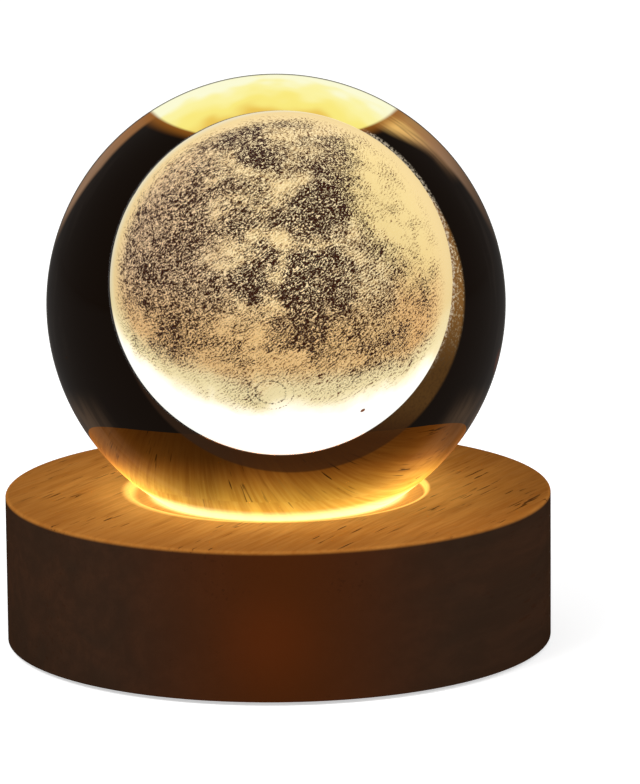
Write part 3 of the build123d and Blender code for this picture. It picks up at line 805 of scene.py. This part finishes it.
# The painted light washes the seas out low down and round the edge, more widely on the right.
rim = fade(tree, face_on, 0.46, 0.16)
right_rim = maths(tree, "MULTIPLY", fade(tree, face_on, 0.56, 0.26), fade(tree, x, 0.3, 0.9))
rim = maths(tree, "MAXIMUM", rim, right_rim)
dark = maths(tree, "MULTIPLY", dark, maths(tree, "SUBTRACT", 1.0, maths(tree, "MAXIMUM", painted_underglow, rim)))
dark = maths(tree, "MULTIPLY", dark, fade(tree, z, -0.28, -0.56, 1.0, 0.45))
crater = towards(tree, plain_outward, heading(-6, -36))
ridges = []
for width, strength in ((6.0, 1.0), (9.0, 0.7)):
    off_ridge = maths(tree, "ABSOLUTE", maths(tree, "SUBTRACT", crater, math.cos(math.radians(width))))
    ridges.append(fade(tree, off_ridge, 0.0011, 0.0004, 0.0, strength))
ring = maths(tree, "MAXIMUM", *ridges)
dark = maths(tree, "ADD", dark, maths(tree, "MULTIPLY", ring, 0.35), clamp=True)
leaning = stretch(tree, around, (1, 1, 1), LEAN)
strokes = stretch(tree, leaning, STROKES)
worm = mottle(tree, strokes, 1.0, 0.6, 0.5, 1.4)
worm = maths(tree, "ABSOLUTE", maths(tree, "SUBTRACT", worm, 0.5))
_, _, z_lean, _ = split(tree, leaning)
rows = maths(tree, "MULTIPLY", z_lean, ROW_WAVES)
sway = maths(tree, "MULTIPLY_ADD", mottle(tree, around, 900.0, 2.0), 22.0, rows)
worm = maths(tree, "MULTIPLY_ADD", maths(tree, "SINE", sway), 0.035, worm)
ray_place = vector(tree, "DISTANCE", plain_outward, heading(28, 40))
rays = maths(tree, "SINE", maths(tree, "MULTIPLY", ray_place, RAY_WAVES))
ray_field = towards(tree, outward, heading(43, 17))
ray_field = fade(tree, ray_field, math.cos(math.radians(17)), math.cos(math.radians(8)))
worm = maths(tree, "MULTIPLY_ADD", maths(tree, "MULTIPLY", rays, ray_field), 0.03, worm)
edge = maths(tree, "MULTIPLY_ADD", dark, 0.165, -0.014)
ink = put(
    tree,
    "ShaderNodeMapRange",
    {
        "Value": worm,
        "From Min": maths(tree, "ADD", edge, -INK_EDGE),
        "From Max": maths(tree, "ADD", edge, INK_EDGE),
        "To Min": 1.0,
        "To Max": 0.0,
    },
    interpolation_type="SMOOTHSTEP",
).outputs["Result"]
ink = maths(tree, "MULTIPLY", ink, fade(tree, dark, 0.0, 0.2))
ground = tint(tree, fade(tree, dark, 0.1, 0.9), hue(243, 213, 154), hue(126, 84, 56))
ground = tint(tree, fade(tree, worm, 0.09, 0.18, 0.0, 0.9), ground, hue(255, 234, 184))
# The tone of the painted glow: pinker on the left, amber in a band below the middle, orange and golden
# patches on the right, pale at the edge and white low down.
ground = tint(tree, fade(tree, x, -0.1, -0.9, 0.0, 0.6), ground, hue(226, 188, 150))
amber = both(fade(tree, z, 0.25, -0.25), fade(tree, z, -0.58, -0.40))
ground = tint(tree, maths(tree, "MULTIPLY", amber, 0.7), ground, hue(234, 186, 118))
orange = fade(tree, towards(tree, outward, heading(72, -4)), math.cos(0.5), math.cos(0.1), 0.0, 0.6)
ground = tint(tree, orange, ground, hue(236, 180, 112))
golden = fade(tree, towards(tree, outward, heading(80, 33)), math.cos(0.75), math.cos(0.3), 0.0, 0.8)
ground = tint(tree, golden, ground, hue(242, 216, 146))
ground = tint(tree, rim, ground, hue(242, 214, 152))
pale_limb = fade(tree, face_on, fade(tree, x, -0.5, 0.3, 0.26, 0.14), 0.04)
ground = tint(tree, pale_limb, ground, hue(244, 234, 202))
ground = tint(tree, fade(tree, low, -0.40, -0.62), ground, hue(248, 230, 176))
ground = tint(tree, fade(tree, low, -0.62, -0.92), ground, hue(255, 255, 248))
mark = tint(tree, fade(tree, dark, 0.12, 0.5), hue(110, 58, 28), hue(52, 26, 17))
dot = fade(tree, towards(tree, plain_outward, heading(49, -48)), math.cos(0.022), math.cos(0.012))
ink = maths(tree, "MAXIMUM", ink, dot)
feed(shader, "Emission Color", tint(tree, ink, ground, mark))
# The painted glow is brighter towards the edge, and brighter still low down.
strength = fade(tree, face_on, 0.95, 0.0, *MOON_GLOW)
strength = maths(tree, "MULTIPLY", strength, fade(tree, painted_underglow, 0.0, 1.0, 1.0, FOOT_GAIN))
feed(shader, "Emission Strength", strength)
feed(shader, "Base Color", (0, 0, 0, 1))

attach(moon, "ball")
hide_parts("engraved_moon")

# The ball. Solid glass, ground and polished to a sphere, that stays in its seat by its own weight and can be
# lifted out. It is clear in front of the moon, though a black absorption inside, painted shade, darkens all
# that is seen through it. Round the moon it is made opaque and near black as painted shade, with a faint
# gloss that shows the wood below. Painted light lies over it: a bright cap, dull streaks and a second edge of
# the moon.
#
# Places on the disc that the ball shows are shares of its radius: how far the moon's window reaches, where
# the moon and its second edge stand and how far they lean to the right, and the foot and size of the cap.
# VIEW_DROP and VIEW_STRETCH turn a height on the ball into a height on that disc.
WINDOW = 0.75
GLASS_IOR = 1.52
GLOSS = 0.045
SECOND_GLOSS = 0.22
MOON_PLACE = (0.0926, 0.027)
SECOND_PLACE = (0.018, 0.085)
CAP_FOOT = 0.857
CAP_DROP = 0.1835
CAP_WIDTH = 0.524
VIEW_DROP = -0.2038
VIEW_STRETCH = 1.0206
GLINT_PLACE = (0.955, -0.19, -0.226)
glass, tree, shader = finish("clear_glass", 0.0, 0.0)
sizes = {"Middle": BALL_CENTRE, "Radius": BALL_RADIUS, "Squares": 64, "Finish": glass}
ball = cast("glass_ball", round_form, sizes)
feed(shader, "IOR", GLASS_IOR)
feed(shader, "Specular Tint", (0.1, 0.1, 0.1, 1))
feed(shader, "Coat Roughness", 0.0)
feed(shader, "Coat IOR", GLASS_IOR)
# Painted shade: a black absorption inside the glass darkens all that is seen through it.
painted_shade_absorption = put(tree, "ShaderNodeVolumeAbsorption", {"Color": (0, 0, 0, 1), "Density": 80.0})
tree.links.new(painted_shade_absorption.outputs[0], tree.nodes["Material Output"].inputs["Volume"])
outward = vector(tree, "NORMALIZE", place(tree, BALL_CENTRE))
x, _, z, _ = split(tree, outward)
face_on, out = edge_on(tree)
right = fade(tree, x, -0.05, 0.05)


def over(paint, amount, colour):
    """Lays one more colour over the paint so far."""
    return tint(tree, amount, paint, colour)


# How high a place stands on the disc, from -1 to 1, and how far it is from the disc's middle line.
rise = maths(tree, "MULTIPLY_ADD", face_on, VIEW_DROP, maths(tree, "MULTIPLY", z, VIEW_STRETCH))
rise = maths(tree, "MAXIMUM", maths(tree, "MINIMUM", rise, out), maths(tree, "MULTIPLY", out, -1.0))
slope = maths(tree, "DIVIDE", rise, maths(tree, "MAXIMUM", out, 0.1))
across = maths(tree, "SUBTRACT", maths(tree, "MULTIPLY", out, out), maths(tree, "MULTIPLY", rise, rise))
across = maths(tree, "SQRT", maths(tree, "MAXIMUM", across, 0.0))


def ring_distance(height, lean):
    """The distance from a point on the middle line of the disc, less a share that grows to the right."""
    flat = put(tree, "ShaderNodeCombineXYZ", {0: across, 1: maths(tree, "SUBTRACT", rise, height)}).outputs[0]
    length = vector(tree, "LENGTH", flat)
    return maths(tree, "MULTIPLY_ADD", x, -lean, length)


from_moon = ring_distance(*MOON_PLACE)
beyond = fade(tree, from_moon, WINDOW - 0.003, WINDOW + 0.002)
# Painted shade: outside the moon's window the glass is made opaque and black.
painted_black = fade(tree, from_moon, WINDOW - 0.0025, WINDOW + 0.0005)
feed(shader, "Base Color", tint(tree, painted_black, (1, 1, 1), (0, 0, 0)))
feed(shader, "Transmission Weight", fade(tree, from_moon, WINDOW - 0.0005, WINDOW + 0.0025, 1.0, 0.0))

# The dull second edge of the moon, low on the right, painted in brown light with pale specks, with less
# gloss.
second = both(fade(tree, ring_distance(*SECOND_PLACE), 0.758, 0.744), beyond)
gloss = fade(tree, from_moon, WINDOW - 0.0005, WINDOW + 0.0025, 0.0, GLOSS)
gloss = maths(tree, "MULTIPLY", gloss, fade(tree, second, 0.0, 1.0, 1.0, SECOND_GLOSS))
feed(shader, "Coat Weight", gloss)
grain = mottle(tree, place(tree), 2600.0, 3.0, 0.7)
brown = tint(tree, fade(tree, rise, -0.32, 0.05), hue(80, 54, 25), hue(128, 88, 42))
brown = tint(tree, fade(tree, rise, -0.40, -0.60), brown, hue(50, 27, 12))
brown = tint(tree, fade(tree, grain, 0.4, 0.7, 0.0, 0.35), brown, hue(40, 25, 15))
brown = tint(tree, fade(tree, x, 0.0, -0.4), brown, hue(44, 30, 20))
specks = both(fade(tree, grain, 0.50, 0.66), fade(tree, rise, -0.30, 0.15))
brown = tint(tree, specks, brown, hue(206, 182, 142))
# The painted light outside the window starts near black.
paint = tint(tree, fade(tree, out, 0.84, 0.96), hue(15, 6, 1), hue(17, 8, 2))
paint = over(paint, second, brown)
# Painted pale specks just outside the moon, low on the right.
painted_pale_specks = both(fade(tree, from_moon, 0.768, 0.756), both(beyond, fade(tree, grain, 0.42, 0.62)))
painted_pale_specks = both(painted_pale_specks, both(fade(tree, slope, -0.5, 0.0), right))
paint = over(paint, maths(tree, "MULTIPLY", painted_pale_specks, 0.7), hue(220, 204, 176))

# The painted streaks of light down both edges, from the ends of the cap.
streak_place = put(
    tree,
    "ShaderNodeCombineXYZ",
    {
        0: maths(tree, "MULTIPLY", out, 50.0),
        1: maths(tree, "MULTIPLY", slope, 3.0),
        2: maths(tree, "MULTIPLY", x, 2.0),
    },
).outputs[0]
streak = mottle(tree, streak_place, 1.0, 2.0, 0.55, 0.3)
inner = maths(tree, "MAXIMUM", maths(tree, "SUBTRACT", 0.62, slope), 0.0)
inner = maths(tree, "MULTIPLY_ADD", inner, 0.09, 0.962)
inner = maths(tree, "SUBTRACT", out, maths(tree, "MULTIPLY_ADD", right, -0.006, inner))
edge_band = both(fade(tree, inner, -0.006, 0.010), fade(tree, slope, 0.20, 0.52))
thinned = both(right, fade(tree, slope, 0.74, 0.40, 0.0, 0.6))
edge_band = both(edge_band, maths(tree, "SUBTRACT", 1.0, thinned))
tan = tint(tree, fade(tree, slope, 0.60, 0.84), hue(142, 110, 84), hue(150, 98, 48))
tan = tint(tree, fade(tree, streak, 0.35, 0.7, 0.0, 0.3), tan, hue(120, 84, 50))
tan = tint(tree, both(right, fade(tree, out, 0.97, 0.995, 0.0, 0.5)), tan, hue(98, 64, 28))
broad = maths(tree, "SUBTRACT", out, fade(tree, slope, 0.66, 0.85, 0.918, 0.872))
broad = both(both(fade(tree, broad, 0.0, 0.05), fade(tree, slope, 0.53, 0.76)), right)
broad = both(broad, fade(tree, out, 0.972, 0.955, 0.25, 1.0))
broad = both(broad, fade(tree, streak, 0.30, 0.55, 0.55, 1.0))
faint = both(fade(tree, streak, 0.45, 0.75, 0.0, 0.35), fade(tree, out, 0.90, 0.97))
paint = over(paint, faint, hue(40, 32, 26))
paint = over(paint, edge_band, tan)
paint = over(paint, broad, tint(tree, fade(tree, slope, 0.66, 0.84), hue(186, 140, 96), hue(236, 186, 104)))

# A painted brown glow just over the mirrored wood at both edges, and one small painted warm glint on the
# right.
painted_low_glow = both(fade(tree, out, 0.86, 0.96), fade(tree, rise, -0.34, -0.50))
paint = over(paint, both(painted_low_glow, fade(tree, streak, 0.3, 0.65, 0.35, 0.8)), hue(78, 60, 44))
painted_glint = vector(tree, "DISTANCE", outward, GLINT_PLACE)
paint = over(paint, fade(tree, painted_glint, 0.075, 0.02, 0.0, 0.7), hue(84, 38, 17))

# The bright cap, a painted arc of the light carried up from the seat, with a painted brown edge.
drop = maths(tree, "DIVIDE", maths(tree, "MAXIMUM", maths(tree, "SUBTRACT", CAP_FOOT, rise), 0.0), CAP_DROP)
sideways = maths(tree, "DIVIDE", across, CAP_WIDTH)
lens_place = put(tree, "ShaderNodeCombineXYZ", {0: drop, 1: sideways}).outputs[0]
from_cap = vector(tree, "LENGTH", lens_place)
above = fade(tree, rise, 0.3, 0.5)
fringe = both(both(fade(tree, from_cap, 1.2, 1.0), above), beyond)
paint = over(paint, both(fringe, 0.8), hue(150, 90, 24))
blob = mottle(tree, stretch(tree, outward, (7, 7, 3)), 1.0, 1.0)
paler = maths(tree, "MULTIPLY_ADD", across, 0.07, out)
paler = maths(tree, "MULTIPLY_ADD", maths(tree, "SUBTRACT", blob, 0.5), 0.13, paler)
light = tint(tree, fade(tree, paler, 0.83, 0.895), hue(236, 196, 84), hue(250, 234, 126))
light = tint(tree, fade(tree, paler, 0.895, 0.945), light, hue(252, 243, 160))
light = tint(tree, fade(tree, paler, 0.945, 1.0), light, hue(252, 251, 212))
cap = both(both(fade(tree, from_cap, 1.03, 0.98), above), beyond)
paint = over(paint, cap, light)

# The foot of the ball, painted as glowing in the seat, and the thin dark outline of the glass, a painted line
# of light at its edge.
foot = maths(tree, "MULTIPLY_ADD", both(across, across), -0.10, z)
paint = over(paint, fade(tree, foot, -0.785, -0.838), hue(255, 246, 184))
outline = both(fade(tree, out, 0.9935, 0.997), fade(tree, rise, -0.45, -0.38))
paint = over(paint, maths(tree, "MULTIPLY", outline, 0.85), hue(60, 56, 48))
feed(shader, "Emission Color", paint)
feed(shader, "Emission Strength", 1.0)
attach(ball, "ball")
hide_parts("crystal_ball")

# The table and the light. A plain white floor under a pale sky, one soft lamp to the left and a weaker one
# to the right.
floor_shape = bmesh.new()
bmesh.ops.create_circle(floor_shape, cap_ends=True, segments=96, radius=4.0)
floor_mesh = bpy.data.meshes.new("floor")
floor_shape.to_mesh(floor_mesh)
floor_shape.free()
floor = bpy.data.objects.new("floor", floor_mesh)
bpy.context.scene.collection.objects.link(floor)


def seen(tree):
    """1 for a ray that the camera sees straight, in a reflection or through glass, and 0 for the rest."""
    rays = tree.nodes.new("ShaderNodeLightPath").outputs
    direct = maths(tree, "MAXIMUM", rays["Is Camera Ray"], rays["Is Glossy Ray"])
    return maths(tree, "MAXIMUM", direct, rays["Is Transmission Ray"])


paper, tree, shader = finish("white_floor", 0.9, 0.1)
feed(shader, "Base Color", (0.82, 0.82, 0.82, 1))
feed(shader, "Emission Strength", maths(tree, "MULTIPLY", seen(tree), 0.55))
feed(shader, "Emission Color", (1, 1, 1, 1))
from_below = put(tree, "ShaderNodeNewGeometry").outputs["Backfacing"]
clear = put(tree, "ShaderNodeBsdfTransparent").outputs[0]
one_way = put(tree, "ShaderNodeMixShader", {0: from_below, 1: shader.outputs[0], 2: clear}).outputs[0]
tree.links.new(one_way, tree.nodes["Material Output"].inputs["Surface"])
floor.data.materials.append(paper)
floor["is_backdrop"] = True

sky = bpy.data.worlds.new("pale_sky")
sky.use_nodes = True
tree = sky.node_tree
tree.nodes.clear()
dim = put(tree, "ShaderNodeBackground", {"Color": (1, 1, 1, 1), "Strength": 0.45})
white = put(tree, "ShaderNodeBackground", {"Color": (1, 1, 1, 1), "Strength": 1.0})
either = put(tree, "ShaderNodeMixShader", {0: seen(tree), 1: dim.outputs[0], 2: white.outputs[0]})
put(tree, "ShaderNodeOutputWorld", {"Surface": either.outputs[0]})
bpy.context.scene.world = sky

for name, where, width, power in (
    ("left_lamp", (-0.55, -0.45, 0.75), 0.5, 6.0),
    ("right_lamp", (0.7, -0.35, 0.5), 0.5, 3.0),
):
    lamp = bpy.data.lights.new(name, "AREA")
    lamp.size = width
    lamp.energy = power
    holder = bpy.data.objects.new(name, lamp)
    holder.location = where
    holder.rotation_euler = (Vector((0, 0, 0.03)) - Vector(where)).to_track_quat("-Z", "Y").to_euler()
    holder.visible_glossy = False
    bpy.context.scene.collection.objects.link(holder)

# The camera. It stands 0.7 m from the lamp with a long lens, 11.5 degrees above the level, and looks down at
# the lamp's middle.
RISE = math.radians(11.519)
DISTANCE = 0.7
LAMP_MIDDLE = 36 * MM
ROLL = math.radians(-0.51)
back = Vector((0, -math.cos(RISE), math.sin(RISE)))
up = Vector((0, math.sin(RISE), math.cos(RISE)))
stand = Vector((0, 0, LAMP_MIDDLE)) + DISTANCE * back
aim = Vector((5.57 * MM, 0, LAMP_MIDDLE)) - up * 3.386 * MM
lens = bpy.data.cameras.new("camera")
lens.sensor_width = 36
lens.lens = 247.9
camera = bpy.data.objects.new("camera", lens)
turned = (aim - stand).to_track_quat("-Z", "Y").to_matrix().to_4x4()
camera.matrix_world = Matrix.Translation(stand) @ turned @ Matrix.Rotation(ROLL, 4, "Z")
bpy.context.scene.collection.objects.link(camera)
bpy.context.scene.camera = camera
bpy.context.scene.view_settings.view_transform = "Standard"

sizes = {"cad": [list(corner) for corner in cad_box], "visual": [list(corner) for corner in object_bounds()]}
